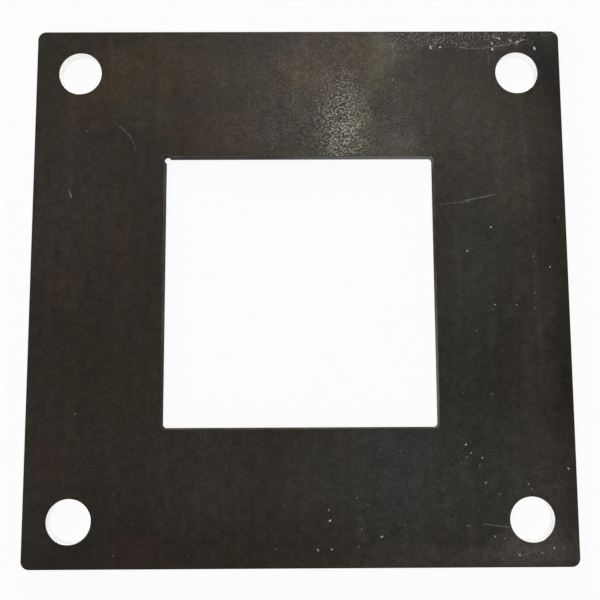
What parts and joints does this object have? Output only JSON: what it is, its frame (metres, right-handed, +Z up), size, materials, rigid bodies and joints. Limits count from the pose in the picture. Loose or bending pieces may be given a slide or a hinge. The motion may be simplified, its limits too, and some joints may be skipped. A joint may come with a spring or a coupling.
{
  "type": "cover plate",
  "caption": "Flat square steel cover plate with a square window through its middle and a bolt hole near each corner.",
  "frame": {"origin": "middle of the underside, which is the face that the plate lies on", "axes": "+Z up through the thickness, X and Y along the sides, with the small round bite in the window's corner at -X, +Y"},
  "size_m": [0.15, 0.15, 0.003],
  "materials": {
    "mill_scale_steel": "dark hot-rolled mill scale, mottled brown, olive and grey, with fine pits, specks and light scratches"
  },
  "bodies": {
    "root": {"plate": "mill_scale_steel"}
  },
  "joints": []
}
